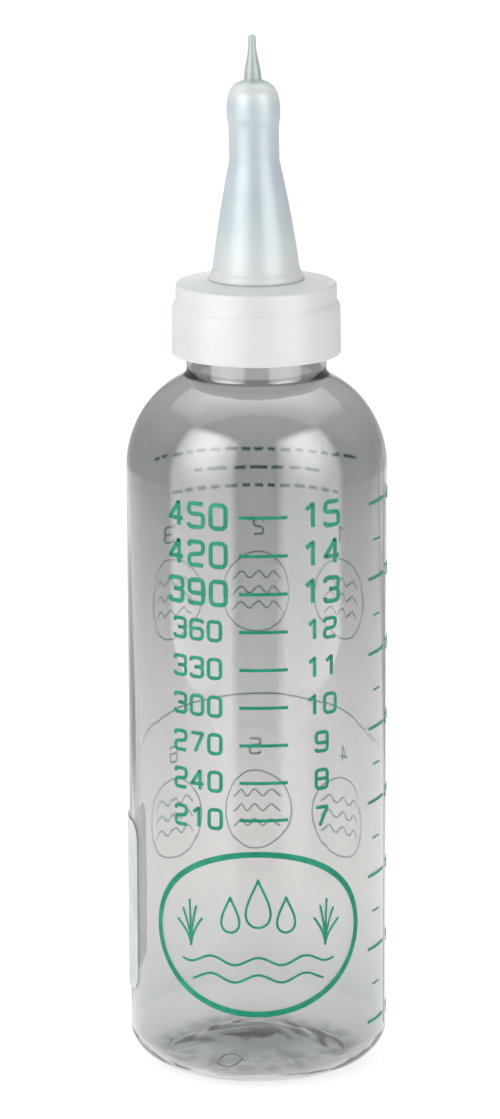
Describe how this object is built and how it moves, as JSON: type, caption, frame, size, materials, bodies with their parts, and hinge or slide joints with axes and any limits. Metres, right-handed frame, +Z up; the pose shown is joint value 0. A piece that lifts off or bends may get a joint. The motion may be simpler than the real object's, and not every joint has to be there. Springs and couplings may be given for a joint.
{
  "type": "lamb feeding bottle",
  "caption": "Clear upright feeding bottle with a two-tier screw cap, a tapered pull-through teat and an air-vent plate with a mushroom valve under it.",
  "frame": {"origin": "centre of the flat ring that the bottle stands on, in the plane of that ring", "axes": "+Z up along the bottle's axis, towards the teat; -Y towards the viewer of the printed side; the label is on the -X side and the air valve on the +X side"},
  "size_m": [0.0654, 0.065, 0.2608],
  "materials": {
    "clear_bottle": "clear blown plastic, glossy",
    "label_paper": "bare white label, matt",
    "white_cap": "white moulded plastic, satin",
    "milky_teat": "milky translucent silicone, satin",
    "plate_plastic": "natural white moulded plastic",
    "seal_ring": "soft pale seal, matt",
    "valve_rubber": "milky silicone, satin",
    "green_ink": "screen-printed ink on the clear wall, with the looks"
  },
  "bodies": {
    "bottle_body": {"bottle": "clear_bottle", "side_label": "label_paper"},
    "closure": {"teat": "milky_teat", "vent_plate": "plate_plastic", "rim_seal": "seal_ring"},
    "cap": {"screw_cap": "white_cap"},
    "valve": {"air_valve": "valve_rubber"}
  },
  "joints": [
    {"name": "closure_lift", "type": "slide", "parent": "bottle_body", "child": "closure", "axis": [0, 0, 1], "range_m": [0, 0.0127]},
    {"name": "cap_turn", "type": "hinge", "parent": "closure", "child": "cap", "pos_m": [0, 0, 0.1818], "axis": [0, 0, 1], "range_deg": [0, 1080]},
    {"name": "valve_drop", "type": "slide", "parent": "closure", "child": "valve", "axis": [0, 0, -1], "range_m": [0, 0.0008], "stiffness_N_per_m": 20}
  ],
  "couplings": [
    {"joint": "closure_lift", "follows": "cap_turn", "m_per_rad": 0.0006737}
  ]
}
